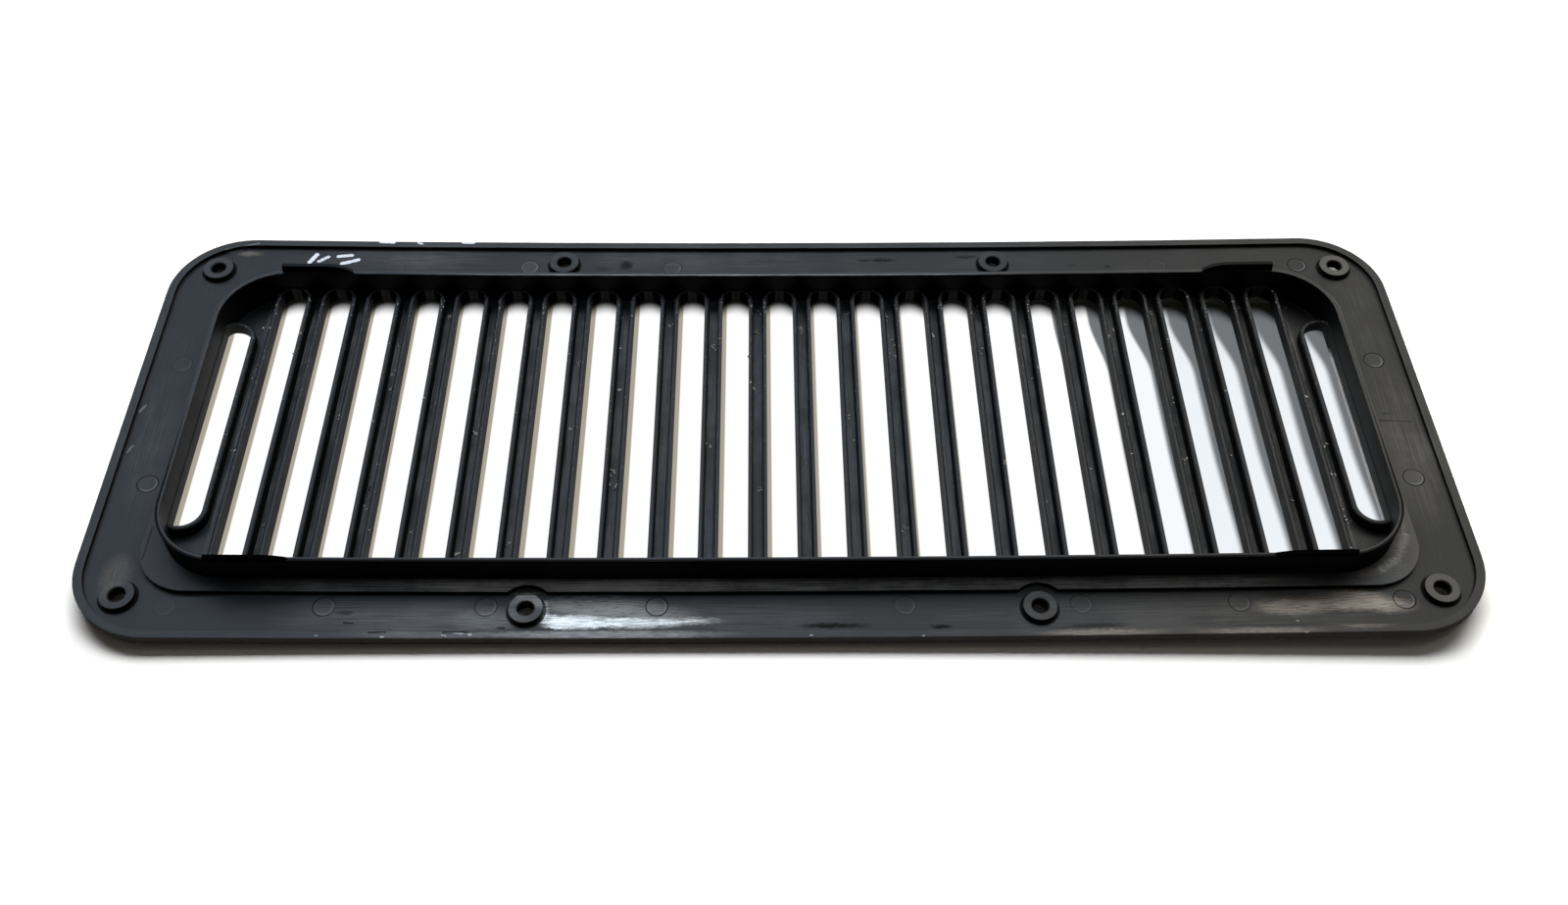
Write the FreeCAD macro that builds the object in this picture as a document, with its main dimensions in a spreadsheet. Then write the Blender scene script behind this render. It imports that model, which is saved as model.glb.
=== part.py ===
# Cowl vent: one moulding, lying underside up, its outer face down.
# X runs along the vent, Y across it, Z up. The whole moulding is crowned:
# every level follows a large arc about an axis along Y, high above the vent,
# so the ends stand a little higher than the middle.
import FreeCAD, Part
import math
import os
import Sketcher
from FreeCAD import Placement, Rotation, Vector

os.makedirs("parts", exist_ok=True)
doc = FreeCAD.newDocument("cowl_vent")

# Driving dimensions, millimetres. Levels are heights at mid length.
sizes = {
    "length": 620.4,
    "depth": 243.6,
    "corner": 38,
    "crown_radius": 13200,
    "flange_face": 1.8,
    "flange_level": 4.2,
    "lip_width": 4,
    "lip_level": 6.1,
    "pan_level": 3.3,
    "pad_length": 568,
    "pad_depth": 190.2,
    "pad_corner": 24,
    "pad_level": 6.7,
    "notch_radius": 12,
    "boss_radius": 7.5,
    "hole_radius": 3.6,
    "corner_hole_x": 288,
    "corner_hole_y": 100.3,
    "middle_hole_x": 111.5,
    "middle_hole_y": 106.7,
    "duct_length": 553,
    "duct_depth": 177,
    "duct_corner": 32,
    "duct_offset": -3.2,
    "duct_wall": 2,
    "duct_level": 20.2,
    "floor_level": 2.5,
    "rib_foot": 1,
    "rib_level": 9.5,
    "end_rib_level": 8.4,
    "rib_wall": 2.1,
    "rib_bevel": 0.7,
    "slot_pitch": 22.225,
    "slot_gap": 13.4,
    "slot_round": 6.6,
    "slot_inset": 0.4,
    "end_slot_shift": 1,
    "end_slot_depth": 123.2,
    "end_slot_round": 9,
    "end_slot_square": 3.5,
    "mouth_bevel": 2.7,
    "mouth_drop": 0.3,
    "tab_length": 37,
    "tab_x": 230.6,
    "tab_rise": 3.6,
    "tab_lean": 1.2,
    "tab_root": 0.5,
    "tab_round": 25,
    "hole_bevel": 0.5,
    "stock_low": -5,
    "stock_high": 40,
}
slots_each_side = 11

sheet = doc.addObject("Spreadsheet::Sheet", "sizes")
for row, (word, value) in enumerate(sizes.items(), 1):
    sheet.set(f"A{row}", word)
    sheet.set(f"B{row}", str(value))
    sheet.setAlias(f"B{row}", word)
doc.recompute()

# How far apart two places may be and still count as one, in millimetres
slack = 0.01


def size(word):
    return float(getattr(sheet, word))


def crowned(x, y=0, z=0):
    # The place of a feature that stands on the crowned moulding, x along its arc
    turn = FreeCAD.Units.Quantity(x / size("crown_radius"), "rad").getValueAs("deg").Value
    axis = Vector(0, 0, size("crown_radius"))
    swung = Placement(Vector(), Rotation(Vector(0, -1, 0), turn), axis)
    return swung * Placement(Vector(0, y, z), Rotation())


def upright_edges(shape, test=lambda box: True):
    names = []
    for number, edge in enumerate(shape.Edges, 1):
        box = edge.BoundBox
        if box.XLength < slack and box.YLength < slack and test(box):
            names.append(f"Edge{number}")
    return names


def edges_at_level(shape, level, test=lambda box: True):
    names = []
    for number, edge in enumerate(shape.Edges, 1):
        box = edge.BoundBox
        if abs(box.ZMin - level) < slack and abs(box.ZMax - level) < slack and test(box):
            names.append(f"Edge{number}")
    return names


def dress_edges(kind, measure, body, base, edges, value, name):
    doc.recompute()
    feature = body.newObject(kind, name)
    feature.Base = (base, edges)
    feature.setExpression(measure, value)
    doc.recompute()
    return feature


def fillet(*details):
    return dress_edges("PartDesign::Fillet", "Radius", *details)


def chamfer(*details):
    return dress_edges("PartDesign::Chamfer", "Size", *details)


def add_box(body, name, length, depth, low, high, offset="0"):
    box = body.newObject("PartDesign::AdditiveBox", name)
    box.setExpression("Length", length)
    box.setExpression("Width", depth)
    box.setExpression("Height", f"({high}) - ({low})")
    box.setExpression("Placement.Base.x", f"-({length}) / 2")
    box.setExpression("Placement.Base.y", f"-({depth}) / 2 + ({offset})")
    box.setExpression("Placement.Base.z", low)
    return box


def plan_block(name, length, depth, corner, offset="0"):
    # A tall block with the plan of a rounded rectangle
    body = doc.addObject("PartDesign::Body", name)
    box = add_box(body, name + "_box", length, depth, "sizes.stock_low", "sizes.stock_high", offset)
    doc.recompute()
    fillet(body, box, upright_edges(box.Shape), corner, name + "_corners")
    return body


def sector(name, level):
    # Everything above one crowned level, as a slice of a great cylinder
    spread, reach = 3, 300
    part = doc.addObject("Part::Cylinder", name)
    part.setExpression("Radius", f"sizes.crown_radius - ({level})")
    part.Height = reach
    part.Angle = spread
    turn = Rotation(Vector(1, 0, 0), 90) * Rotation(Vector(0, 0, 1), -90 - spread / 2)
    part.Placement = Placement(Vector(0, reach / 2, size("crown_radius")), turn)
    return part


def boolean(kind, name, base, tool):
    part = doc.addObject(kind, name)
    part.Base = base
    part.Tool = tool
    return part


def layer(name, plan, low, high):
    # The part of a plan between two crowned levels
    above = boolean("Part::Common", name + "_above", plan, sector(name + "_low", low))
    return boolean("Part::Cut", name, above, sector(name + "_high", high))


def row(name, part, places):
    link = doc.addObject("App::Link", name)
    link.LinkedObject = part
    link.ShowElement = False
    link.ElementCount = len(places)
    link.PlacementList = places
    return link


# The flange, its raised lip, and the pad and pan round the duct
outline = plan_block("outline", "sizes.length", "sizes.depth", "sizes.corner")
inside_lip = plan_block(
    "inside_lip",
    "sizes.length - 2 * sizes.lip_width",
    "sizes.depth - 2 * sizes.lip_width",
    "sizes.corner - sizes.lip_width",
)
pad_plan = plan_block(
    "pad_plan", "sizes.pad_length", "sizes.pad_depth", "sizes.pad_corner", "sizes.duct_offset"
)
flange = layer("flange", outline, "sizes.flange_face", "sizes.flange_level")
lip_plan = boolean("Part::Cut", "lip_plan", outline, inside_lip)
lip = layer("lip", lip_plan, "sizes.pan_level", "sizes.lip_level")
pan = layer("pan", pad_plan, "0", "sizes.pan_level")


# Eight screw bosses, and the pad's notches round the middle four
def four(across, along):
    return [(sx * size(across), sy * size(along)) for sx in (-1, 1) for sy in (-1, 1)]


def post(name, radius):
    part = doc.addObject("Part::Cylinder", name)
    part.setExpression("Radius", radius)
    part.setExpression("Height", "sizes.stock_high")
    return part


def upright(places):
    return [Placement(Vector(x, y, 0), Rotation()) for x, y in places]


corner_holes = four("corner_hole_x", "corner_hole_y")
middle_holes = four("middle_hole_x", "middle_hole_y")
all_holes = corner_holes + middle_holes
boss_row = row("boss_row", post("boss_post", "sizes.boss_radius"), upright(all_holes))
hole_row = row("hole_row", post("hole_post", "sizes.hole_radius"), upright(all_holes))
notch_row = row("notch_row", post("notch_post", "sizes.notch_radius"), upright(middle_holes))
bosses = layer("bosses", boss_row, "sizes.pan_level", "sizes.pad_level")
pad_notched = boolean("Part::Cut", "pad_notched", pad_plan, notch_row)
pad = layer("pad", pad_notched, "sizes.pan_level", "sizes.pad_level")

# Each hole is bevelled where it opens on its boss, by an upright cone
bevel = doc.addObject("Part::Cone", "hole_bevel")
bevel.setExpression("Radius1", "sizes.hole_radius - sizes.hole_bevel")
bevel.setExpression("Radius2", "sizes.hole_radius + 2 * sizes.hole_bevel")
bevel.setExpression("Height", "3 * sizes.hole_bevel")
bevel_foot = size("pad_level") - 2 * size("hole_bevel")
bevel_places = [Vector(x, y, crowned(x, y, bevel_foot).Base.z) for x, y in all_holes]
bevel_row = row("bevel_row", bevel, [Placement(place, Rotation()) for place in bevel_places])

# The duct wall, and the four tabs on its rim
duct_plan = plan_block(
    "duct_plan", "sizes.duct_length", "sizes.duct_depth", "sizes.duct_corner", "sizes.duct_offset"
)
duct_inside = plan_block(
    "duct_inside",
    "sizes.duct_length - 2 * sizes.duct_wall",
    "sizes.duct_depth - 2 * sizes.duct_wall",
    "sizes.duct_corner - sizes.duct_wall",
    "sizes.duct_offset",
)
duct = layer("duct", duct_plan, "sizes.pan_level", "sizes.duct_level")
cavity = boolean("Part::Common", "cavity", duct_inside, sector("cavity_floor", "sizes.floor_level"))


# A slot: an upright hole with a bevelled mouth on the outer face
def slot_cutter(name, depth, inner_round, outer_round):
    body = doc.addObject("PartDesign::Body", name)
    spread = "4 * sizes.mouth_bevel"
    wide, deep = f"sizes.slot_gap + {spread}", f"{depth} + {spread}"
    add_box(body, name + "_plate", wide, deep, "sizes.stock_low", "-sizes.mouth_drop")
    tip = add_box(body, name + "_column", "sizes.slot_gap", depth, "-sizes.rib_foot", "2 * sizes.rib_level")
    doc.recompute()
    half, drop = size("slot_gap") / 2, -size("mouth_drop")
    for side, radius in ((1, inner_round), (-1, outer_round)):
        edges = upright_edges(tip.Shape, lambda box: abs(box.XMin - side * half) < slack and box.ZMax > 0)
        tip = fillet(body, tip, edges, radius, f"{name}_round_{side + 1}")
    inside = tip.Shape.BoundBox.YMax - size("mouth_bevel")

    def on_column(box):
        return abs(box.Center.x) < half + slack and abs(box.Center.y) < inside

    chamfer(body, tip, edges_at_level(tip.Shape, drop, on_column), "sizes.mouth_bevel", name + "_mouth")
    return body


# A rib: the raised wall round one slot, its outer top edge bevelled
def rib_body(name, depth, level, inner_round, outer_round):
    body = doc.addObject("PartDesign::Body", name)
    wide, deep = "sizes.slot_gap + 2 * sizes.rib_wall", f"{depth} + 2 * sizes.rib_wall"
    tip = add_box(body, name + "_box", wide, deep, "sizes.rib_foot", "sizes." + level)
    doc.recompute()
    for side, radius in ((1, inner_round), (-1, outer_round)):
        edges = upright_edges(tip.Shape, lambda box: box.XMin * side > 0)
        tip = fillet(body, tip, edges, f"{radius} + sizes.rib_wall", f"{name}_round_{side + 1}")
    chamfer(body, tip, edges_at_level(tip.Shape, size(level)), "sizes.rib_bevel", name + "_top")
    return body


full_depth = "(sizes.duct_depth - 2 * sizes.duct_wall - 2 * sizes.slot_inset)"
end_depth = "sizes.end_slot_depth"
even_rounds = ("sizes.slot_round", "sizes.slot_round")
end_rounds = ("sizes.end_slot_round", "sizes.end_slot_square")
middle_y = size("duct_offset")
pitch = size("slot_pitch")
half_turn = Placement(Vector(), Rotation(Vector(0, 0, 1), 180))
slot_numbers = range(-slots_each_side, slots_each_side + 1)
slot_places = [crowned(number * pitch, middle_y) for number in slot_numbers]
last_pitch = (slots_each_side + 1) * pitch
end_x = last_pitch + size("end_slot_shift")
end_places = [crowned(-end_x, middle_y), crowned(end_x, middle_y) * half_turn]
slot_row = row("slot_row", slot_cutter("slot", full_depth, *even_rounds), slot_places)
end_slot_row = row("end_slot_row", slot_cutter("end_slot", end_depth, *end_rounds), end_places)
rib_row = row("rib_row", rib_body("rib", full_depth, "rib_level", *even_rounds), slot_places)
end_rib = rib_body("end_rib", end_depth, "end_rib_level", *end_rounds)
end_rib_row = row("end_rib_row", end_rib, end_places)


# A tab: a leaning upstand on the rim. Its section, seen along the rim, leans;
# its side view slopes off in a long arc at the end towards mid length
def new_sketch(body, name, plane_role):
    plane = next(item for item in body.Origin.OriginFeatures if item.Role == plane_role)
    sketch = body.newObject("Sketcher::SketchObject", name)
    sketch.AttachmentSupport = [(plane, "")]
    sketch.MapMode = "FlatFace"
    return sketch


def name_constraint(sketch, word, constraint, source):
    index = sketch.addConstraint(constraint)
    sketch.renameConstraint(index, word)
    sketch.setExpression("Constraints." + word, source)


def pad_both_ways(body, sketch, name, length):
    feature = body.newObject("PartDesign::Pad", name)
    feature.Profile = sketch
    feature.setExpression("Length", length)
    feature.Midplane = True
    return body


def tab_section(name):
    body = doc.addObject("PartDesign::Body", name)
    sketch = new_sketch(body, name + "_sketch", "YZ_Plane")
    wall, root = size("duct_wall"), size("tab_root")
    rise, lean = 2 * size("tab_rise"), 2 * size("tab_lean")
    foot = [Vector(0, -root, 0), Vector(wall, -root, 0)]
    corners = foot + [Vector(wall + lean, rise, 0), Vector(lean, rise, 0)]
    for start, end in zip(corners, corners[1:] + corners[:1]):
        sketch.addGeometry(Part.LineSegment(start, end))
    for line in range(4):
        sketch.addConstraint(Sketcher.Constraint("Coincident", line, 2, (line + 1) % 4, 1))
    sketch.addConstraint(Sketcher.Constraint("Horizontal", 0))
    sketch.addConstraint(Sketcher.Constraint("Horizontal", 2))
    sketch.addConstraint(Sketcher.Constraint("Equal", 0, 2))
    sketch.addConstraint(Sketcher.Constraint("PointOnObject", 0, 1, -2))
    name_constraint(sketch, "root", Sketcher.Constraint("DistanceY", 0, 1, -1, 1, root), "sizes.tab_root")
    name_constraint(sketch, "wall", Sketcher.Constraint("DistanceX", 0, 1, 0, 2, wall), "sizes.duct_wall")
    name_constraint(sketch, "lean", Sketcher.Constraint("DistanceX", 0, 1, 3, 1, lean), "2 * sizes.tab_lean")
    name_constraint(sketch, "rise", Sketcher.Constraint("DistanceY", -1, 1, 3, 1, rise), "2 * sizes.tab_rise")
    return pad_both_ways(body, sketch, name + "_pad", "2 * sizes.tab_length")


def tab_side_view(name, side):
    body = doc.addObject("PartDesign::Body", name)
    sketch = new_sketch(body, name + "_sketch", "XZ_Plane")
    half, rise, root = size("tab_length") / 2, size("tab_rise"), size("tab_root")
    radius = size("tab_round")
    drop = rise + root
    top_end = half - math.sqrt(2 * radius * drop - drop * drop)
    low = -2 * root
    square, sloped = -side * half, side * half
    centre = Vector(side * top_end, rise - radius, 0)
    slope = math.atan2(radius - drop, half - top_end)
    angles = (slope, math.pi / 2) if side > 0 else (math.pi / 2, math.pi - slope)
    top_point, low_point = (2, 1) if side > 0 else (1, 2)
    arc = Part.ArcOfCircle(Part.Circle(centre, Vector(0, 0, 1), radius), *angles)
    sketch.addGeometry(Part.LineSegment(Vector(square, low, 0), Vector(square, rise, 0)))
    sketch.addGeometry(Part.LineSegment(Vector(square, rise, 0), Vector(side * top_end, rise, 0)))
    sketch.addGeometry(arc)
    sketch.addGeometry(Part.LineSegment(Vector(sloped, -root, 0), Vector(sloped, low, 0)))
    sketch.addGeometry(Part.LineSegment(Vector(sloped, low, 0), Vector(square, low, 0)))
    sketch.addConstraint(Sketcher.Constraint("Coincident", 0, 2, 1, 1))
    sketch.addConstraint(Sketcher.Constraint("Tangent", 1, 2, 2, top_point))
    sketch.addConstraint(Sketcher.Constraint("Coincident", 2, low_point, 3, 1))
    sketch.addConstraint(Sketcher.Constraint("Coincident", 3, 2, 4, 1))
    sketch.addConstraint(Sketcher.Constraint("Coincident", 4, 2, 0, 1))
    for line, way in ((0, "Vertical"), (1, "Horizontal"), (3, "Vertical"), (4, "Horizontal")):
        sketch.addConstraint(Sketcher.Constraint(way, line))
    left_foot, right_foot = ((0, 1), (3, 2)) if side > 0 else ((3, 2), (0, 1))
    half_length = "sizes.tab_length / 2"
    name_constraint(sketch, "left", Sketcher.Constraint("DistanceX", *left_foot, -1, 1, half), half_length)
    name_constraint(sketch, "right", Sketcher.Constraint("DistanceX", -1, 1, *right_foot, half), half_length)
    name_constraint(sketch, "low", Sketcher.Constraint("DistanceY", 0, 1, -1, 1, -low), "2 * sizes.tab_root")
    name_constraint(sketch, "rise", Sketcher.Constraint("DistanceY", -1, 1, 0, 2, rise), "sizes.tab_rise")
    name_constraint(sketch, "root", Sketcher.Constraint("DistanceY", 3, 1, -1, 1, root), "sizes.tab_root")
    name_constraint(sketch, "round", Sketcher.Constraint("Radius", 2, radius), "sizes.tab_round")
    return pad_both_ways(body, sketch, name + "_pad", "10 * sizes.duct_wall")


inner_face = size("duct_depth") / 2 - size("duct_wall")
back_face, front_face = middle_y + inner_face, middle_y - inner_face
rim = size("duct_level")
section = tab_section("tab_section")
tabs = []
for side, name in ((1, "tab_right"), (-1, "tab_left")):
    tab = boolean("Part::Common", name, section, tab_side_view(name + "_side", -side))
    places = [
        crowned(side * size("tab_x"), back_face, rim),
        crowned(-side * size("tab_x"), front_face, rim) * half_turn,
    ]
    tabs.append(row(name + "_row", tab, places))

# The moulding
shell = doc.addObject("Part::MultiFuse", "shell")
shell.Shapes = [flange, lip, pan, bosses, pad, duct]
tray = boolean("Part::Cut", "tray", shell, cavity)
grille = doc.addObject("Part::MultiFuse", "grille")
grille.Shapes = [tray, rib_row, end_rib_row] + tabs
openings = doc.addObject("Part::Compound", "openings")
openings.Links = [slot_row, end_slot_row, hole_row, bevel_row]
vent = boolean("Part::Cut", "cowl_vent", grille, openings)
vent.Label = "cowl_vent"
doc.recompute()

for item in doc.Objects:
    if "Invalid" in item.State or "Error" in item.State:
        raise RuntimeError(f"{item.Name} failed: {item.State}")
solid = vent.Shape.Solids[0]
if len(vent.Shape.Solids) != 1 or solid.isNull() or not solid.isValid():
    raise RuntimeError("cowl_vent is not one valid solid")
box = solid.BoundBox
spans = f"{box.XLength:.1f} x {box.YLength:.1f} x {box.ZLength:.1f} mm"
print(f"cowl_vent {spans}, {solid.Volume / 1000:.1f} cm3")
vent.Shape.exportStep("parts/cowl_vent.step")
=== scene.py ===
import math

import bpy
import numpy as np
from mathutils import Matrix, Vector


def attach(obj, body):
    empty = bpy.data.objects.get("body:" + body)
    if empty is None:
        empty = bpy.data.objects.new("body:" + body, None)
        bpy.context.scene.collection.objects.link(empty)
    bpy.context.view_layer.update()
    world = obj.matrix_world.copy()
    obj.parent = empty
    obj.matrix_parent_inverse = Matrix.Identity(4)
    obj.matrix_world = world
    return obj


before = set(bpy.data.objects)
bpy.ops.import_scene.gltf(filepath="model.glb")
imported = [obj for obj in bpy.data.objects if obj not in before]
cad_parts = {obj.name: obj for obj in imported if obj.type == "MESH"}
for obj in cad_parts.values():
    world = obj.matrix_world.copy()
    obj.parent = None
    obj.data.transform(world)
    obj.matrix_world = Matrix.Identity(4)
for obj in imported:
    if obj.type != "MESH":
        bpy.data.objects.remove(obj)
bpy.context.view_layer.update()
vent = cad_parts["cowl_vent"]
print("frame loaded", list(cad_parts))

# The moulding's own measures that patterns and loose pieces follow, in millimetres
moulding = {
    "crownRadius": 13200.0,
    "outline": (310.2, 121.8, 38.0),
    "duct": (276.5, 88.5, 32.0),
    "ductOffset": -3.2,
    "slotPitch": 22.225,
    "slotHalf": 6.7,
    "slotBack": 82.9,
    "slotsEachSide": 11,
    "endSlotShift": 1.0,
    "ribWall": 2.1,
    "bosses": ((-288, -100.3), (-111.5, -106.7), (111.5, -106.7), (288, -100.3),
               (-288, 100.3), (-111.5, 106.7), (111.5, 106.7), (288, 100.3)),
}


# One output socket of a node tree: Python's own operators on it add Math nodes
class Wire:
    def __init__(self, shader, socket):
        self.shader, self.socket = shader, socket

    def maths(self, operation, *values):
        return self.shader.maths(operation, *values)

    def __add__(self, other):
        return self.maths("ADD", self, other)

    def __radd__(self, other):
        return self.maths("ADD", other, self)

    def __sub__(self, other):
        return self.maths("SUBTRACT", self, other)

    def __rsub__(self, other):
        return self.maths("SUBTRACT", other, self)

    def __mul__(self, other):
        return self.maths("MULTIPLY", self, other)

    def __rmul__(self, other):
        return self.maths("MULTIPLY", other, self)

    def __truediv__(self, other):
        return self.maths("DIVIDE", self, other)

    def __abs__(self):
        return self.maths("ABSOLUTE", self)


# A material or world's node tree. One method adds any kind of node but Math
class Shader:
    def __init__(self, owner):
        owner.use_nodes = True
        self.owner, self.tree = owner, owner.node_tree
        self.tree.nodes.clear()

    def node(self, kind, settings=None, sockets=None, output=0):
        made = self.tree.nodes.new("ShaderNode" + kind)
        for word, value in (settings or {}).items():
            setattr(made, word, value)
        for key, value in (sockets or {}).items():
            if isinstance(value, Wire):
                self.tree.links.new(value.socket, made.inputs[key])
            else:
                made.inputs[key].default_value = value
        return Wire(self, made.outputs[output]) if made.outputs else None

    def maths(self, operation, *values):
        return self.node("Math", {"operation": operation}, dict(enumerate(values)))

    # Vector Math: give output 1 for the ones that answer with a number
    def vectors(self, operation, *values, output=0):
        return self.node("VectorMath", {"operation": operation}, dict(enumerate(values)), output)

    # The piece's own coordinates, in millimetres
    def millimetres(self):
        place = self.node("TexCoord", output="Object")
        return self.node("VectorMath", {"operation": "SCALE"}, {0: place, "Scale": 1000.0})

    # 0 below low, 1 above high, eased between
    def smooth(self, value, low, high):
        return self.node(
            "MapRange",
            {"interpolation_type": "SMOOTHSTEP"},
            {"Value": value, "From Min": low, "From Max": high},
        )

    def clip(self, value):
        return self.node("Clamp", None, {0: value})

    # Colour a where factor is 0 and b where it is 1
    def mix(self, factor, a, b):
        sides = [side if isinstance(side, Wire) else (*side, 1) for side in (a, b)]
        return self.node(
            "Mix", {"data_type": "RGBA"}, {0: factor, 6: sides[0], 7: sides[1]}, output=2
        )

    def axes(self, vector):
        return [self.node("SeparateXYZ", None, {0: vector}, output=axis) for axis in range(3)]

    def vector(self, x, y, z=0.0):
        return self.node("CombineXYZ", None, {0: x, 1: y, 2: z})

    def noise(self, vector, scale, detail=3.0, rough=0.5, output=0):
        sockets = {"Vector": vector, "Scale": scale, "Detail": detail, "Roughness": rough}
        return self.node("TexNoise", None, sockets, output)

    # How far a plan point is outside a rounded rectangle about the origin, less than 0 inside
    def outside(self, plan, halfLength, halfDepth, corner):
        core = (halfLength - corner, halfDepth - corner, 0)
        past = self.vectors("SUBTRACT", self.vectors("ABSOLUTE", plan), core)
        pastX, pastY, _ = self.axes(past)
        beyond = self.vectors("LENGTH", self.vectors("MAXIMUM", past, (0, 0, 0)), output=1)
        within = self.maths("MINIMUM", self.maths("MAXIMUM", pastX, pastY), 0.0)
        return beyond + within - corner

    # Soft ovals added up. A row: x, y, half length, half depth, strength
    def spots(self, plan, rows, soft=0.7):
        total = 0.0
        for x, y, halfLength, halfDepth, strength in rows:
            shifted = self.vectors("SUBTRACT", plan, (x, y, 0))
            scaled = self.vectors("DIVIDE", shifted, (halfLength, halfDepth, 1))
            away = self.vectors("LENGTH", scaled, output=1)
            total = strength * (1 - self.smooth(away, 1 - soft, 1.0)) + total
        return total

    # Straight marks with round ends, added up. A row: start x, y, end x, y, half width, strength
    def strokes(self, plan, rows, soft=0.6):
        total = 0.0
        for startX, startY, endX, endY, halfWidth, strength in rows:
            run = Vector((endX - startX, endY - startY, 0))
            shifted = self.vectors("SUBTRACT", plan, (startX, startY, 0))
            share = self.vectors("DOT_PRODUCT", shifted, tuple(run / run.length_squared), output=1)
            nearest = self.node(
                "VectorMath", {"operation": "SCALE"}, {0: tuple(run), "Scale": self.clip(share)}
            )
            away = self.vectors("DISTANCE", shifted, nearest, output=1)
            total = strength * (1 - self.smooth(away, halfWidth * (1 - soft), halfWidth)) + total
        return total

    def surface(self, shader):
        self.node("OutputMaterial", None, {"Surface": shader})


# The camera, solved from the photograph's straight edges and holes
camera = {
    "place": (-0.00851, -0.47286, 0.56644),
    "pitch": 51.05,
    "yaw": 1.23,
    "roll": 0.74,
    "focalPixels": 1567.96,
    "pixelsWide": 1600,
    "sensor": 36.0,
}


def makeCamera(spec):
    pitch, yaw, roll = (math.radians(spec[word]) for word in ("pitch", "yaw", "roll"))
    flat = math.cos(pitch)
    ahead = Vector((math.sin(yaw) * flat, math.cos(yaw) * flat, -math.sin(pitch)))
    level = Vector((math.cos(yaw), -math.sin(yaw), 0))
    above = level.cross(ahead)
    right = level * math.cos(roll) + above * math.sin(roll)
    up = above * math.cos(roll) - level * math.sin(roll)
    data = bpy.data.cameras.new("photoCamera")
    data.sensor_width = spec["sensor"]
    data.lens = spec["focalPixels"] * spec["sensor"] / spec["pixelsWide"]
    data.clip_start, data.clip_end = 0.01, 50
    eye = bpy.data.objects.new("photoCamera", data)
    turn = Matrix((right, up, -ahead)).transposed().to_4x4()
    eye.matrix_world = Matrix.Translation(spec["place"]) @ turn
    bpy.context.scene.collection.objects.link(eye)
    bpy.context.scene.camera = eye


makeCamera(camera)
print("camera set")

# Lamps: place, what they point at, size, power and colour. The plastic mirrors the sky alone
studio = {
    "lamps": {
        "windowBehind": ((0.05, 1.15, 1.60), (0, 0, 0), (2.6, 0.75), 68, (0.98, 0.99, 1.0)),
        "warmRight": ((0.95, 0.15, 1.5), (0, 0, 0), (0.35, 0.35), 1.2, (1.0, 0.94, 0.84)),
    },
    "fill": (0.055, (1.0, 0.90, 0.76)),
    "glossFront": 0.02,
    "glossBack": 0.55,
    "glossAbove": 1.75,
    "backFrom": (-0.1, 0.55),
    "aboveFrom": (0.50, 0.95),
    "aboveFade": (-0.5, 0.4),
    "coolToWarm": (-0.30, 0.30),
    "coolSide": (0.76, 0.89, 1.07),
    "warmSide": (1.0, 0.985, 0.95),
}


def makeLamp(name, place, target, lampSize, power, colour):
    data = bpy.data.lights.new(name, "AREA")
    data.shape, data.size, data.size_y = "RECTANGLE", *lampSize
    data.energy, data.color = power, colour
    lamp = bpy.data.objects.new(name, data)
    aim = Vector(target) - Vector(place)
    turn = aim.to_track_quat("-Z", "Y").to_matrix().to_4x4()
    lamp.matrix_world = Matrix.Translation(place) @ turn
    lamp.visible_glossy = False
    bpy.context.scene.collection.objects.link(lamp)


for name, spec in studio["lamps"].items():
    makeLamp(name, *spec)

# The sky: white to the camera, a pale room in reflections, brighter behind, and a faint warm fill
world = bpy.data.worlds.new("studioSky")
bpy.context.scene.world = world
sky = Shader(world)
seen = sky.node("LightPath", output="Is Camera Ray")
mirrored = sky.node("LightPath", output="Is Glossy Ray")
skyX, skyY, skyZ = sky.axes(sky.node("TexCoord", output="Generated"))
behind = sky.smooth(skyY, *studio["backFrom"]) * studio["glossBack"]
above = sky.smooth(skyZ, *studio["aboveFrom"]) * sky.smooth(skyY, *studio["aboveFade"])
above = above * studio["glossAbove"]
room = studio["glossFront"] + behind + above
faint, warmth = studio["fill"]
strength = faint + mirrored * (room - faint) + seen * (1 - faint)
leftToRight = sky.smooth(skyX, *studio["coolToWarm"])
sides = sky.mix(leftToRight, studio["coolSide"], studio["warmSide"])
tint = sky.mix(seen, sky.mix(mirrored, warmth, sides), (1, 1, 1))
background = sky.node("Background", None, {"Color": tint, "Strength": strength})
sky.node("OutputWorld", None, {"Surface": background})
print("lamps and sky set")

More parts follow.
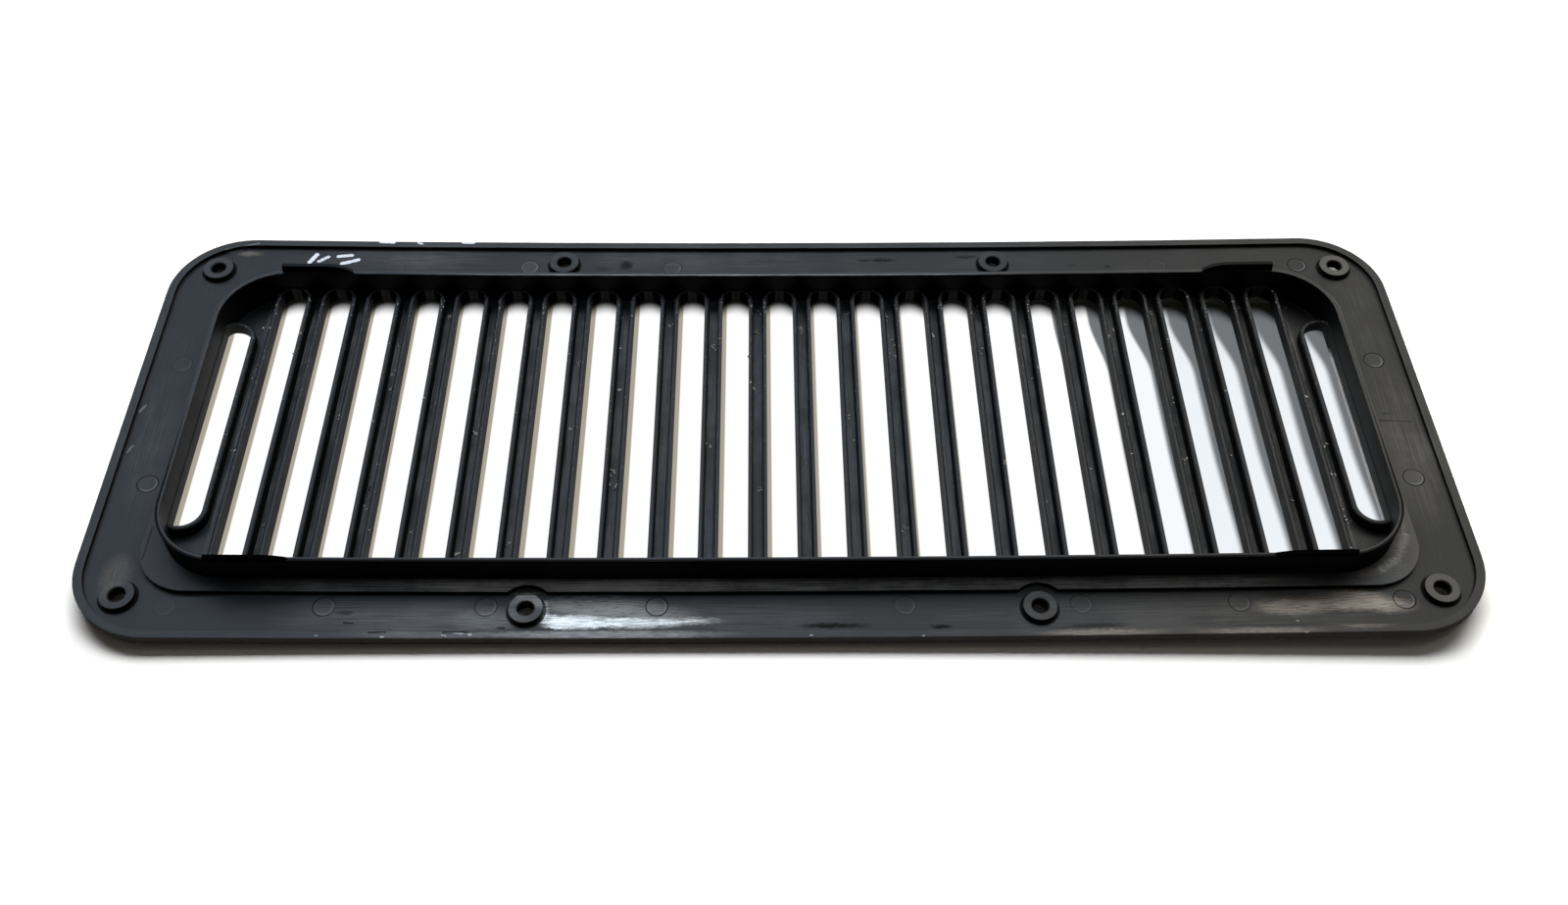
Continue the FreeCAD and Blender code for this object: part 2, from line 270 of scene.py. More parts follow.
# Painted light and shade: under the collar the floor shows a painted white with painted shadows in
# place of its traced shadow, and round the moulding it is lifted toward white
# The floor is a white table under the moulding, a little lower at its right end. What shows
# through the slots is white with the shade of each slot's edge, as wide as in the photograph.
# Slots are numbered from the middle one. A step says how much, and between which slots or
# places it grows. Half size and drop are in metres, the other lengths in millimetres
table = {
    "halfSize": 4.0,
    "slope": 0.0052,
    "drop": 0.00018,
    "colour": (0.96, 0.96, 0.955),
    "window": (276.5, 88.0),
    "stripEdge": -6.0,
    "stripStep": (1.35, -8.0, -4.5),
    "stripSoft": 0.3,
    "sideEdge": 8.4,
    "sideStep": (1.0, 2.6, -75.0, -10.0),
    "sideAtBack": (7.0, 5.0, 8.0),
    "sideSoft": (0.4, 1.6),
    "farRightSlots": (5.0, 11.0),
    "backPart": (35.0, 72.0),
    "backStart": 0.6,
    "backStep": (2.6, 4.5, 9.0),
    "backStepEnds": 9.0,
    "backRound": 0.07,
    # Painted shade: the bluer, duskier white of the right slots, and the tones of the painted
    # shadows
    "duskySlots": (0.30, 8.0, 11.0),
    "bluishSlots": (7.0, 9.0),
    "stripShade": (0.40, 0.37, 0.30),
    "sideShade": (0.17, 0.18, 0.19),
    "backShade": (0.004, 0.004, 0.003),
    "rightWhite": (0.86, 0.90, 0.94),
    "backWidths": (-8.0, 2.4),
    # Painted light: how the floor is lifted toward white round the moulding and beside its ends,
    # and the cream glow that lightens the shadow at its right front corner
    "haloWidths": (5.0, 40.0),
    "sideLift": (302.0, 318.0),
    "sideLiftShare": 0.7,
    "lift": 0.4,
    "cornerGlow": ((316, -122, 26, 20, 0.9),),
    "cream": (1.0, 0.93, 0.74),
    "creamFrom": (200, 300),
    "creamFade": (14, 44),
}


def whiteTable():
    s = Shader(bpy.data.materials.new("whiteTable"))
    mm = s.millimetres()
    x, y, _ = s.axes(mm)
    plan = s.vector(x, y)
    slotNumber = s.maths("ROUND", x / moulding["slotPitch"])
    isEnd = s.maths("GREATER_THAN", abs(slotNumber), moulding["slotsEachSide"] + 0.5)
    shift = isEnd * s.maths("SIGN", x) * moulding["endSlotShift"]
    across = x - slotNumber * moulding["slotPitch"] - shift
    farRight = s.smooth(slotNumber, *table["farRightSlots"])
    towardBack = s.smooth(y, *table["backPart"])

    # A cream strip of painted shade at the left of each slot
    step, *stepSlots = table["stripStep"]
    stripEdge = table["stripEdge"] + step * s.smooth(slotNumber, *stepSlots)
    strip = 1 - s.smooth(across, stripEdge - table["stripSoft"], stripEdge + table["stripSoft"])

    # A grey painted shade at the right, wider in the slots to the right and toward the back
    everywhere, inFront, *frontPart = table["sideStep"]
    narrowing = farRight * (everywhere + inFront * s.smooth(y, *frontPart))
    atBack, *backSlots = table["sideAtBack"]
    narrowing = narrowing + atBack * towardBack * s.smooth(slotNumber, *backSlots)
    sideEdge = table["sideEdge"] - narrowing
    sharp, softer = table["sideSoft"]
    sideSoft = sharp + softer * farRight
    side = s.smooth(across, sideEdge - sideSoft, sideEdge + sideSoft)

    # A painted shadow, dark at the round back end
    step, *stepSlots = table["backStep"]
    fromBack = table["backStart"] + step * s.smooth(slotNumber, *stepSlots)
    fromBack = fromBack + table["backStepEnds"] * isEnd
    reach = y + fromBack + across * across * table["backRound"] - moulding["slotBack"]
    back = s.smooth(reach, *table["backWidths"])

    # Painted shade: a bluer white in the right slots, duskier toward their back
    dusk, *duskSlots = table["duskySlots"]
    white = s.mix(s.smooth(slotNumber, *table["bluishSlots"]), (1, 1, 1), table["rightWhite"])
    dusky = towardBack * s.smooth(slotNumber, *duskSlots) * dusk
    white = s.mix(dusky, white, table["sideShade"])
    tone = s.mix(side, white, table["sideShade"])
    tone = s.mix(strip, tone, table["stripShade"])
    tone = s.mix(back, tone, table["backShade"])

    # The part under the collar shows that painted white and painted shade to the camera and in
    # gloss, the rest is matte
    halfLength, halfDepth = table["window"]
    offCentre = abs(y - moulding["ductOffset"])
    inWindow = s.maths("LESS_THAN", abs(x), halfLength)
    inWindow = inWindow * s.maths("LESS_THAN", offCentre, halfDepth)
    camera = s.node("LightPath", output="Is Camera Ray")
    gloss = s.node("LightPath", output="Is Glossy Ray")
    # Painted light for the camera: the floor lifts toward white away from the moulding and beside
    # its ends, and a cream glow lightens the shadow at the right front corner
    fromVent = s.outside(plan, *moulding["outline"])
    far = s.smooth(fromVent, *table["haloWidths"])
    far = far + s.smooth(abs(x), *table["sideLift"]) * (1 - far) * table["sideLiftShare"]
    far = far + s.spots(plan, table["cornerGlow"], 0.9)
    matte = s.node("BsdfDiffuse", None, {"Color": (*table["colour"], 1)})
    creamy = s.smooth(x, *table["creamFrom"]) * (1 - s.smooth(fromVent, *table["creamFade"]))
    glow = s.mix(creamy, (1, 1, 1), table["cream"])
    lift = s.node("Emission", None, {"Color": glow, "Strength": far * camera * table["lift"]})
    plain = s.node("AddShader", None, {0: matte, 1: lift})
    shown = s.node("Emission", None, {"Color": tone, "Strength": 1.0})
    share = inWindow * s.maths("MAXIMUM", camera, gloss)
    s.surface(s.node("MixShader", None, {0: share, 1: plain, 2: shown}))
    return s.owner


corners = np.array([(-1, -1), (1, -1), (1, 1), (-1, 1)]) * table["halfSize"]
heights = -table["slope"] * corners[:, :1] - table["drop"]
plane = bpy.data.meshes.new("table")
plane.from_pydata(np.hstack((corners, heights)).tolist(), [], [(0, 1, 2, 3)])
floor = bpy.data.objects.new("table", plane)
bpy.context.scene.collection.objects.link(floor)
plane.materials.append(whiteTable())
print("table made")

# The moulding's plastic: its tones, gloss and grain
plastic = {
    "cool": (0.0050, 0.0066, 0.0086),
    "warm": (0.0082, 0.0079, 0.0070),
    # Painted shade on the walls, and painted light on the lip's outer face
    "wall": (0.0020, 0.0022, 0.0025),
    "outerWall": (0.16, 0.142, 0.122),
    "coolFilm": (0.062, 0.068, 0.076),
    "warmFilm": (0.074, 0.070, 0.062),
    "scuffAndGlintWhite": (0.82, 0.92, 1.0),
    "stressWhite": (0.40, 0.39, 0.37),
    # Painted sheen, also used for the highlights of the pin marks
    "sheenGrey": (0.21, 0.23, 0.245),
    "padLitGrey": (0.58, 0.63, 0.68),
    "tan": (0.27, 0.235, 0.200),
    "paint": (0.60, 0.66, 0.74),
    # Smudges, and the black of the painted shade
    "smudgeAndShade": (0.0015, 0.0015, 0.002),
    "roughness": 0.42,
    "wallRoughness": 0.60,
    "specular": 0.35,
    "edgeRadius": 0.0008,
    "bump": (0.30, 0.0002),
}

# Where each zone of the moulding starts and is whole: by slope, height, or distance from an edge
zones = {
    "facingUp": (0.6, 0.9),
    "upright": (0.15, 0.6),
    "lipEdge": (-4.3, -3.9),
    "lipLevel": (5.2, 5.7),
    "outerFace": (-1.5, -0.5),
    "rimLevel": (19.2, 19.8),
    "tabLevel": (20.6, 21.0),
    "grilleEdge": (-3.2, -2.2),
    "flangeEdge": (0.0, 0.6),
    "flangeLevel": (4.9, 5.4),
    "padEdge": (-0.4, 0.2),
    "padLevel": (5.9, 6.4),
    "padEnds": (262, 283),
    "padFront": (-86, -82),
    "channelEdge": (-0.2, 0.5),
    "channelLevel": (5.0, 6.0),
    "endStrips": (276, 290),
    "coolToWarm": (0, 260),
}

# Noises. Streaks: how fine along and across the wiping, detail, roughness. Others: scale first
noises = {
    "streaks": (0.03, 1.9, 4.0, 0.65),
    "brushed": (0.12, 3.2, 3.0, 0.7),
    "cloud": (0.035, 4.0, 0.6),
    "grain": (2.4, 2.0, 0.6),
    "speckle": (1.15, 2.0, 0.55),
    "shake": (0.5, 1.1, 3.0, 0.6),
    "ragged": (4.5, 3.0, 0),
    "nibbled": (1.2, 1.0, 0),
}

# Wear, paler film, and painted sheen, glints and light, by its place on the moulding in
# millimetres
wear = {
    "films": (
        (-165, -110, 66, 18, 0.75), (-30, -110, 90, 14, 0.30), (170, -112, 130, 16, 0.28),
        (293, -15, 24, 62, 0.50), (293, 70, 20, 50, 0.14), (-293, -20, 18, 60, 0.14),
        (-190, 111, 60, 14, 0.34), (-40, 111, 110, 14, 0.20), (120, 111, 60, 12, 0.06),
        (-300, 2, 3, 18, 0.25),
    ),
    # White scuffs, with painted glints and highlights on them
    "scuffsAndGlints": (
        (-90, -112.4, 18, 4.6, 1.4), (-64, -112.8, 26, 3.6, 0.75), (-40, -111.8, 17, 2.6, 0.30),
        (-95, -112.0, 10, 1.5, 1.5), (-80, -113.6, 14, 1.3, 1.3), (-72, -111.0, 10, 0.8, 0.8),
        (-99, -114.8, 6, 0.9, 0.9), (-101, -109.4, 5, 1.6, 0.7), (-56, -113.0, 12, 0.7, 0.8),
        (-103.5, -107, 2.0, 7, 0.6), (-112, -97.8, 9, 1.2, 0.3), (-44, -111.9, 10, 0.6, 0.5),
    ),
    "sheens": (
        (-84, -103.0, 34, 7.4, 1.1), (-66, -109, 34, 9, 0.7), (-78, -119.8, 66, 3.0, 0.95),
        (-128, -111, 22, 8, 0.30), (-150, -119.8, 40, 2.6, 0.25),
    ),
    "tanPatches": (
        (247, -104.5, 24, 6.5, 1.2), (222, -107, 22, 6, 0.7), (264, -107.5, 14, 5, 0.6),
        (241.3, -103.8, 1.2, 1.0, 0.9), (136, -120.4, 34, 2.4, 0.50), (205, -120.6, 34, 2.4, 0.45),
        (-275, 113.5, 8, 2.4, 0.30), (-292, -90, 9, 16, 0.15), (250, -118.4, 14, 1.8, 0.30),
    ),
    "smudges": (
        (22, -114.6, 20, 1.8, 0.8), (68, -115.6, 6, 1.6, 0.8), (136, -115.6, 18, 1.6, 0.4),
        (-189, -107.7, 5, 1.5, 0.4), (-79.4, 106.9, 4.4, 4.4, 0.7), (-91.9, 104, 5, 3, 0.3),
        (54, 110.5, 10, 1.6, 0.7), (44, 110.3, 5, 1.2, 0.6), (97.9, 112.5, 9, 1.6, 0.5),
        (171.5, 104.5, 2, 1.2, 0.7), (152, 105.9, 5, 1.2, 0.25), (-4, 109.6, 18, 1.4, 0.25),
        (-160, 106.5, 13, 1.5, 0.25), (290.6, 1.6, 3.2, 0.8, 0.6),
    ),
    "darkLines": (
        (286, -2.6, 301, -3.8, 0.5, 0.5), (-281.2, -64, -281.4, -82, 0.45, 0.5),
        (-189, -112.6, -185, -113.0, 0.5, 0.8), (-123, -115.2, -120, -115.4, 0.5, 0.8),
        (-145.5, -118.6, -135, -118.6, 0.4, 0.8), (-145.5, -118.6, -144.8, -121.2, 0.4, 0.7),
        (-177, -118.8, -170, -118.6, 0.5, 0.7),
    ),
    "nicks": (
        (-145.6, -120, -144.6, -120.4, 0.6, 0.9), (-140.7, -119, -137.4, -119.3, 0.5, 0.6),
        (-134.4, -119.6, -133.6, -119.9, 0.6, 0.9), (-171.5, -120.9, -170.6, -120.9, 0.5, 0.9),
        (11.4, -120.7, 12.2, -120.7, 0.4, 0.8), (59.5, -121.1, 60.1, -121.1, 0.4, 0.8),
        (223.5, -121.8, 224.4, -121.8, 0.5, 0.9), (221.8, -114.5, 222.4, -114.6, 0.35, 0.6),
        (-199.6, -120.2, -198.6, -120.3, 0.4, 0.5), (-304.9, 5.2, -303.2, 9.0, 0.8, 0.22),
        (-304.6, -19.8, -303.0, -16, 0.8, 0.18), (-287, 114.3, -280, 116.4, 0.8, 0.35),
        (-280, 116.4, -271.4, 119.4, 0.7, 0.3),
    ),
    "stress": (
        (254.5, -92.8, 264, -90.2, 2.6, 0.6), (264, -90.2, 272, -84.6, 3.2, 0.8),
        (273.8, -82, 279, -72.5, 3.0, 0.65), (279, -71.5, 280, -62, 1.6, 0.35),
    ),
    # Painted light on the pad's front strip
    "padLights": (
        (-95, -93, 95, 14, 1.60), (40, -93, 110, 14, 0.60), (170, -93, 80, 14, 0.60),
        (-200, -93, 45, 14, 0.40), (262, -93, 20, 14, 0.06),
    ),
    "nickShare": 0.45,
    "stressShare": 0.75,
    # Ejector pin marks: x, y, how clear, and how much paler the disc is
    "pins": (
        (-267.2, -104.6, 0.3, 0.1), (-198.9, -104.5, 0.9, 0.3), (-129, -104.4, 1.1, 0.2),
        (-55, -104.4, 1.6, 0.8), (53, -104.4, 0.5, 0.2), (130, -104.4, 0.6, 0.1),
        (199, -104.4, 0.7, 0.1), (271, -104.4, 1.0, -0.2), (270, 103.6, 1.0, 0.0),
        (197.2, 104.6, 0.4, 0.1), (-55.3, 104.8, 0.4, 0.2), (-129.5, 105.3, 0.5, 0.5),
        (-199, 104.4, 0.3, 0.1), (-290.6, -38.2, 1.0, 0.1), (-292, 35.6, 0.3, 0.1),
        (293, -37.4, 1.0, 0.1), (293, 36, 1.0, 0.1),
    ),
    "pinRadius": 4.7,
    "paintDabs": (
        (-243.4, 107.8, -240.6, 113.4, 1.3, 1.0), (-238.8, 108.4, -234.4, 111.8, 1.1, 0.9),
        (-229.4, 112.2, -222.4, 113.2, 1.1, 1.0), (-226.6, 107.0, -218.8, 109.8, 1.25, 1.0),
    ),
    "lipPaint": (
        (-208.6, 121.4, -201.5, 121.2, 0.9, 1.0), (-188.9, 121.2, -186.8, 120.3, 0.7, 0.9),
        (-165.6, 121.5, -160, 121.4, 0.9, 1.0),
    ),
    "bossFilm": (0.08, 0.34, 0.10, 0.08, 0.07, 0.10, 0.08, 0.08),
}


def ventPlastic():
    s = Shader(bpy.data.materials.new("ventPlastic"))
    mm = s.millimetres()
    x, y, z = s.axes(mm)
    plan = s.vector(x, y)
    facing = s.node("NewGeometry", output="Normal")
    _, ny, nz = s.axes(facing)
    level = z - x * x / (2 * moulding["crownRadius"])
    facingUp = s.smooth(nz, *zones["facingUp"])
    wall = 1 - s.smooth(abs(nz), *zones["upright"])

    # Zones: the lip round the outline, the pad, the rim of the collar, ribs and their channels
    fromEdge = s.outside(plan, *moulding["outline"])
    lip = s.smooth(fromEdge, *zones["lipEdge"]) * s.smooth(level, *zones["lipLevel"])
    ductPlan = s.vectors("SUBTRACT", plan, (0, moulding["ductOffset"], 0))
    fromDuct = s.outside(ductPlan, *moulding["duct"])
    rim = s.smooth(level, *zones["rimLevel"])
    inGrille = 1 - s.smooth(fromDuct, *zones["grilleEdge"])
    onFlange = s.smooth(fromDuct, *zones["flangeEdge"])
    onFlange = onFlange * (1 - s.smooth(level, *zones["flangeLevel"])) * facingUp
    onPad = s.smooth(fromDuct, *zones["padEdge"]) * s.smooth(level, *zones["padLevel"])
    onPad = onPad * (1 - lip) * facingUp
    fromSlot = s.maths("PINGPONG", x, moulding["slotPitch"] / 2)
    pastRib = fromSlot - (moulding["slotHalf"] + moulding["ribWall"])
    channel = s.smooth(pastRib, *zones["channelEdge"]) * inGrille * facingUp
    channel = channel * (1 - s.smooth(level, *zones["channelLevel"]))

    # Lines of wiping run along x, on the end strips along y, and in the channels along y
    onSides = s.clip(s.smooth(abs(x), *zones["endStrips"]) + inGrille)
    along = x + (y - x) * onSides
    crossing = y + (x - y) * onSides
    fineAlong, fineAcross, *rest = noises["streaks"]
    streaks = s.noise(s.vector(along * fineAlong, crossing * fineAcross), 1.0, *rest)
    fineAlong, fineAcross, *rest = noises["brushed"]
    brushed = s.noise(s.vector(along * fineAlong, crossing * fineAcross), 1.0, *rest)
    cloud = s.noise(mm, *noises["cloud"])
    grain = s.noise(mm, *noises["grain"])
    speckle = s.noise(mm, *noises["speckle"])
    fineX, fineY, *rest = noises["shake"]
    shake = s.noise(s.vector(x * fineX, y * fineY), 1.0, *rest, output=1)
    shake = s.vectors("SUBTRACT", shake, (0.5, 0.5, 0.5))
    ragged = s.vectors("MULTIPLY_ADD", shake, noises["ragged"], plan)
    nibbled = s.vectors("MULTIPLY_ADD", shake, noises["nibbled"], plan)

    # A paler film, with wiping lines and mottling, stronger in places
    fine = s.smooth(streaks, 0.36, 0.64)
    lines = s.smooth(brushed, 0.38, 0.62)
    mottle = s.smooth(cloud, 0.36, 0.64)
    film = s.spots(plan, wear["films"], 0.9) * (0.30 + 0.50 * mottle + 0.80 * fine)
    film = film + (mottle - 0.5) * 0.14 + (fine - 0.5) * 0.22
    bossFoot, bossTop, pinRadius = 0.0, s.smooth(level, 5.6, 6.2), wear["pinRadius"]
    for (bossX, bossY), strength in zip(moulding["bosses"], wear["bossFilm"]):
        away = s.vectors("DISTANCE", plan, (bossX, bossY, 0), output=1)
        film = strength * (1 - s.smooth(away, 7.0, 7.5)) * bossTop + film
        # A ring round each boss's foot, for the painted shade there
        bossFoot = 1 - s.smooth(abs(away - 8.1), 0.35, 0.9) + bossFoot
    pins, pinLines, pinDiscs, pinHighlights = 0.0, 0.0, 0.0, 0.0
    for pinX, pinY, clear, paler in wear["pins"]:
        away = s.vectors("DISTANCE", plan, (pinX, pinY, 0), output=1)
        disc = 1 - s.smooth(away, pinRadius - 0.4, pinRadius)
        pins = clear * disc + pins
        pinDiscs = paler * disc * (0.4 + 0.6 * s.smooth(away, 2.6, 4.2)) + pinDiscs
        pinLines = clear * (1 - s.smooth(abs(away - pinRadius - 0.1), 0.1, 0.45)) + pinLines
        # A pale arc inside one side of each pin mark: a painted highlight
        arc = 1 - s.smooth(abs(away - pinRadius + 0.75), 0.15, 0.55)
        pinHighlights = clear * arc * s.smooth(x - y, pinX - pinY - 2.0, pinX - pinY + 5.0) + pinHighlights
    pinLines = s.clip(pinLines * (0.45 + 0.8 * mottle)) * onFlange
    pinHighlights = s.clip(pinHighlights * 0.30 * (0.4 + 0.8 * mottle)) * onFlange
    film = film + pinDiscs * onFlange
    onEnds = onPad * s.smooth(abs(x), *zones["padEnds"])
    # The lip paler, a painted highlight; the collar's rim and the pad's ends paler too, the ends
    # more at the right
    film = film + lip * 0.16 + rim * 0.25 + onEnds * (0.15 + 0.60 * s.smooth(x, -10, 10))
    film = film + channel * (0.10 + 1.1 * fine * mottle)
    film = s.clip(film) * facingUp

    # Tones: cool at the left, brownish at the right. Walls get a near black painted shade, the
    # lip's outer face a paler brown painted light
    leftToRight = s.smooth(x, *zones["coolToWarm"])
    tone = s.mix(leftToRight, plastic["cool"], plastic["warm"])
    filmTone = s.mix(leftToRight, plastic["coolFilm"], plastic["warmFilm"])
    outerFace = s.smooth(fromEdge, *zones["outerFace"])
    tone = s.mix(wall, tone, s.mix(outerFace, plastic["wall"], plastic["outerWall"]))
    tone = s.mix(film, tone, filmTone)
    # Painted light: the pad's front strip, which lies in the collar's shadow, made paler grey
    # along streaks
    atFront = 1 - s.smooth(y, *zones["padFront"])
    padLight = s.spots(plan, wear["padLights"]) * (0.30 + 1.1 * fine) * (0.5 + 0.5 * mottle)
    padLight = padLight * onPad * atFront * (0.35 + 0.65 * s.smooth(fromDuct, 0.4, 2.4))
    tone = s.mix(s.clip(padLight), tone, plastic["padLitGrey"])
    # Painted sheen: paler grey along the wiping lines, on the flange and the front lip
    sheen = s.clip(s.spots(ragged, wear["sheens"]) * (0.25 + lines)) * facingUp
    tone = s.mix(sheen, tone, plastic["sheenGrey"])
    tan = s.clip(s.spots(ragged, wear["tanPatches"]) * (0.3 + lines)) * facingUp
    tone = s.mix(tan, tone, plastic["tan"])
    tone = s.mix(pinHighlights, tone, plastic["sheenGrey"])
    dark = s.spots(ragged, wear["smudges"]) + s.strokes(nibbled, wear["darkLines"])
    dark = s.clip(dark) * facingUp
    tone = s.mix(s.clip(dark + pinLines), tone, plastic["smudgeAndShade"])
    stress = s.strokes(ragged, wear["stress"], 0.9) * wear["stressShare"]
    stress = stress * s.smooth(grain, 0.38, 0.60) * facingUp
    tone = s.mix(s.clip(stress), tone, plastic["stressWhite"])
    chips = s.strokes(nibbled, wear["nicks"]) * wear["nickShare"]
    chips = chips * s.smooth(speckle, 0.30, 0.45) * facingUp
    pale = s.smooth(speckle, 0.65, 0.72) * inGrille * s.smooth(y, -110, 60) * 0.5
    pale = pale * (0.4 + 0.9 * s.smooth(y, 48, 76)) * s.smooth(level, 4.0, 8.0)
    # White scuffs on the front flange, with painted glints and highlights on them
    scuffAndGlint = s.spots(ragged, wear["scuffsAndGlints"], 0.7) * (0.10 + 1.25 * lines) * onFlange
    # A painted highlight along the inner edge of the collar's rim at the back
    atBack = s.smooth(y, 70, 80) * (1 - s.smooth(abs(x + 30), 70, 170))
    rimLine = rim * atBack * (1 - s.smooth(fromDuct, -1.75, -1.40)) * (0.35 + fine)
    scuffAndGlint = s.clip(scuffAndGlint + chips + pale + rimLine * 0.45)
    tone = s.mix(scuffAndGlint, tone, plastic["scuffAndGlintWhite"])
    paint = s.strokes(nibbled, wear["paintDabs"] + wear["lipPaint"], 0.25) * facingUp
    paint = s.clip(paint) * s.smooth(brushed, 0.25, 0.45)
    tone = s.mix(paint, tone, plastic["paint"])

    # A small rounding on every edge, the raised pin marks, wiping lines and grain
    rounded = s.node("Bevel", {"samples": 4}, {"Radius": plastic["edgeRadius"]})
    # Paler along the rounded edges: partly rubbed wear, partly a painted highlight
    turned = 1 - s.vectors("DOT_PRODUCT", rounded, facing, output=1)
    edge = s.smooth(turned, 0.02, 0.22) * s.smooth(level, 5.6, 6.0) * (1 - rim)
    edge = edge * s.smooth(streaks * 0.5 + grain * 0.5, 0.40, 0.62) * (1 - onPad)
    tone = s.mix(edge * 0.35, tone, filmTone)
    height = grain * 0.30 + streaks * 0.7 + brushed * (0.25 + scuffAndGlint * 0.8)
    height = height + pins * onFlange * 1.1
    strength, depth = plastic["bump"]
    sockets = {"Strength": strength, "Distance": depth, "Height": height, "Normal": rounded}
    bump = s.node("Bump", None, sockets)
    gloss = plastic["roughness"] + (plastic["wallRoughness"] - plastic["roughness"]) * wall
    rough = gloss + (streaks - 0.5) * 0.30 + (cloud - 0.5) * 0.25 + dark * 0.25 + film * 0.10
    sockets = {"Base Color": tone, "Roughness": rough, "Normal": bump}
    sockets.update({"IOR": 1.5, "Specular IOR Level": plastic["specular"]})
    skin = s.node("BsdfPrincipled", None, sockets)

    # Painted shade: a dull black on the walls of the collar and grille, the slots' back walls, the
    # front rim's outer half, the tabs and the boss feet, where shade falls; also on smudges, dark
    # lines and pin outlines
    sideOn = s.smooth(abs(ny), 0.3, 0.8)
    shadeAndSmudge = wall * s.smooth(fromDuct, -2.7, -2.2) * (0.30 + 0.50 * sideOn)
    slotEnds = wall * inGrille * s.smooth(y, 68, 76) * s.smooth(-1 * ny, 0.2, 0.7)
    shadeAndSmudge = shadeAndSmudge + slotEnds * 0.85 + wall * inGrille * 0.45
    outerRim = rim * s.smooth(fromDuct, -1.4, -0.9) * (1 - s.smooth(y, -60, 20))
    shadeAndSmudge = shadeAndSmudge + bossFoot * onFlange * 0.85 + outerRim * 0.85 + dark * 0.6 + pinLines * 0.5
    shadeAndSmudge = s.clip(shadeAndSmudge + s.smooth(level, *zones["tabLevel"]) * 0.75)
    blackShadeAndSmudge = s.node("BsdfDiffuse", None, {"Color": (*plastic["smudgeAndShade"], 1), "Roughness": 0.6})
    s.surface(s.node("MixShader", None, {0: shadeAndSmudge, 1: skin, 2: blackShadeAndSmudge}))
    return s.owner


vent.data.materials.clear()
vent.data.materials.append(ventPlastic())
print("plastic made")

# Loose flecks and fibres that lie in the channels and on the ribs
litter = {
    "seed": 11,
    "clusters": 110,
    "perCluster": 5,
    "spread": 1.1,
    "fleckHalf": (0.28, 1.0),
    "fibres": 14,
    "fibreLength": (2.0, 6.0),
    "fibreRadius": 0.07,
    "pale": (0.50, 0.50, 0.47),
    "tan": (0.20, 0.155, 0.10),
    "grey": (0.10, 0.10, 0.10),
}


# The height of the moulding under each place, and whether it is level enough to carry a fleck
def restingHeights(places):
    heights, carried = [], []
    for x, y in places:
        hit, where, up, _ = vent.ray_cast(Vector((x, y, 0.06)), Vector((0, 0, -1)))
        heights.append(where.z if hit else 0)
        carried.append(hit and up.z > 0.97 and where.z > 0.0015)
    return np.array(heights), np.array(carried)


# Closed skins: each has rings of points joined by quads, and a fan of faces at either end
def closedSkins(name, rings, starts, ends):
    many, ringCount, around = rings.shape[:3]
    points = np.concatenate((rings.reshape(many, -1, 3), starts[:, None], ends[:, None]), axis=1)
    ring, step = np.meshgrid(np.arange(ringCount), np.arange(around), indexing="ij")
    here, there = ring * around + step, ring * around + (step + 1) % around
    sides = np.stack((here, there, there + around, here + around), axis=-1)[:-1].reshape(-1, 4)
    first, last = ringCount * around, ringCount * around + 1
    startFan = np.stack((there[0], here[0], np.full(around, first)), axis=-1)
    endFan = np.stack((here[-1], there[-1], np.full(around, last)), axis=-1)
    shifts = np.arange(many)[:, None, None] * points.shape[1]
    faces = []
    for block in (sides, startFan, endFan):
        faces += (block[None] + shifts).reshape(-1, block.shape[1]).tolist()
    mesh = bpy.data.meshes.new(name)
    mesh.from_pydata(points.reshape(-1, 3).tolist(), [], faces)
    piece = bpy.data.objects.new(name, mesh)
    bpy.context.scene.collection.objects.link(piece)
    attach(piece, "root")
    return piece


# Flecks: flat balls, a ring of points at each latitude, every radius changed a little at random
def makeFlecks(spec, dice):
    channels = (dice.integers(-12, 12, spec["clusters"]) + 0.5) * moulding["slotPitch"]
    depths = 80 - 165 * dice.random(spec["clusters"]) ** 1.5
    middles = np.stack((channels + dice.normal(0, 2.0, spec["clusters"]), depths), axis=-1)
    middles = np.repeat(middles, spec["perCluster"], axis=0)
    places = (middles + dice.normal(0, spec["spread"], middles.shape)) / 1000
    heights, carried = restingHeights(places)
    places, heights = places[carried], heights[carried]
    many = len(places)
    half = dice.uniform(*spec["fleckHalf"], (many, 1, 1)) / 1000
    slim, flat = dice.uniform(0.35, 0.9, (many, 1, 1)), dice.uniform(0.2, 0.4, (many, 1, 1))
    latitude = np.linspace(-1, 1, 5)[1:-1, None] * math.pi / 2
    turn = np.linspace(0, 2 * math.pi, 7, endpoint=False)[None, :]
    reach = half * np.cos(latitude) * dice.uniform(0.7, 1.2, (many, 3, 7))
    yaw = dice.uniform(0, math.pi, (many, 1, 1))
    longWay, shortWay = reach * np.cos(turn), reach * np.sin(turn) * slim
    rings = np.stack((
        longWay * np.cos(yaw) - shortWay * np.sin(yaw) + places[:, 0, None, None],
        longWay * np.sin(yaw) + shortWay * np.cos(yaw) + places[:, 1, None, None],
        half * flat * np.sin(latitude) * np.ones((1, 1, 7)) + heights[:, None, None],
    ), axis=-1)
    lift = (half * flat)[:, :, 0]
    rings[..., 2] += lift[..., None] * 0.8
    foot = np.column_stack((places, heights - lift[:, 0] * 0.2))
    top = np.column_stack((places, heights + lift[:, 0] * 1.8))
    return closedSkins("dustFlecks", rings, foot, top)


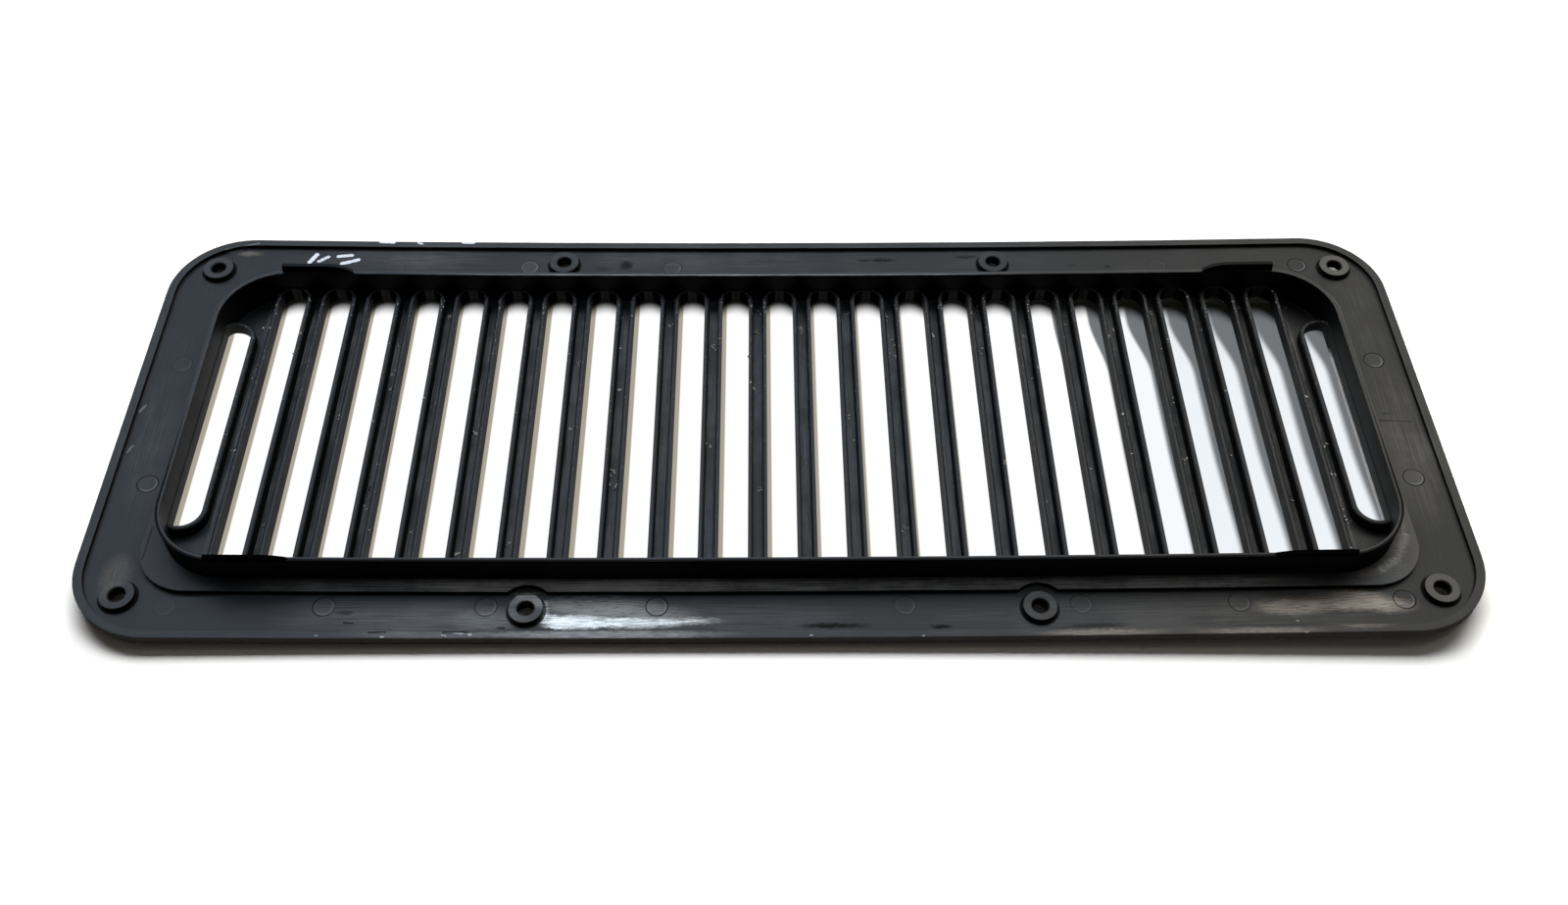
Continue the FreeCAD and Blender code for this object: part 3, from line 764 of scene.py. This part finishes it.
# Fibres: a thin tube carried along a shallow arc that lies on the surface
def makeFibres(spec, dice):
    channels = (dice.integers(-9, 9, spec["fibres"]) + 0.5) * moulding["slotPitch"]
    places = np.stack((channels, 78 - 150 * dice.random(spec["fibres"])), axis=-1) / 1000
    heights, carried = restingHeights(places)
    places, heights = places[carried], heights[carried]
    many, along = len(places), np.linspace(-0.5, 0.5, 9)[None, :]
    length = dice.uniform(*spec["fibreLength"], (many, 1)) / 1000
    bend = dice.uniform(-0.3, 0.3, (many, 1)) * length
    lean = dice.uniform(-0.35, 0.35, (many, 1))
    pathY = length * along
    pathX = bend * (0.25 - along * along) + lean * length * along
    centre = np.stack((
        pathX + places[:, :1],
        pathY + places[:, 1:],
        np.broadcast_to(heights[:, None] + spec["fibreRadius"] / 1000, pathX.shape),
    ), axis=-1)
    turn = np.linspace(0, 2 * math.pi, 5, endpoint=False)
    thick = spec["fibreRadius"] / 1000
    ringX, ringZ = thick * np.cos(turn), thick * np.sin(turn)
    rings = np.repeat(centre[:, :, None], len(turn), axis=2)
    rings[..., 0] += ringX
    rings[..., 2] += ringZ
    return closedSkins("dustFibres", rings[:, :, ::-1], centre[:, 0], centre[:, -1])


def litterDust(spec):
    s = Shader(bpy.data.materials.new("litterDust"))
    mm = s.millimetres()
    patch, grain = s.noise(mm, 0.31, 1.0), s.noise(mm, 4.0, 2.0)
    tone = s.mix(s.smooth(patch, 0.42, 0.50), spec["grey"], spec["pale"])
    tone = s.mix(s.smooth(patch, 0.58, 0.62), tone, spec["tan"])
    tone = s.mix(grain * 0.5, tone, (0.05, 0.05, 0.05))
    bump = s.node("Bump", None, {"Strength": 0.5, "Distance": 0.0001, "Height": grain})
    sockets = {"Base Color": tone, "Roughness": 0.75 + grain * 0.2, "Normal": bump}
    s.surface(s.node("BsdfPrincipled", None, sockets))
    return s.owner


bpy.context.view_layer.update()
dice = np.random.default_rng(litter["seed"])
dust = litterDust(litter)
for piece in (makeFlecks(litter, dice), makeFibres(litter, dice)):
    piece.data.materials.append(dust)
    print("litter made", piece.name, len(piece.data.polygons))

scene = bpy.context.scene
scene.view_settings.view_transform = "Standard"
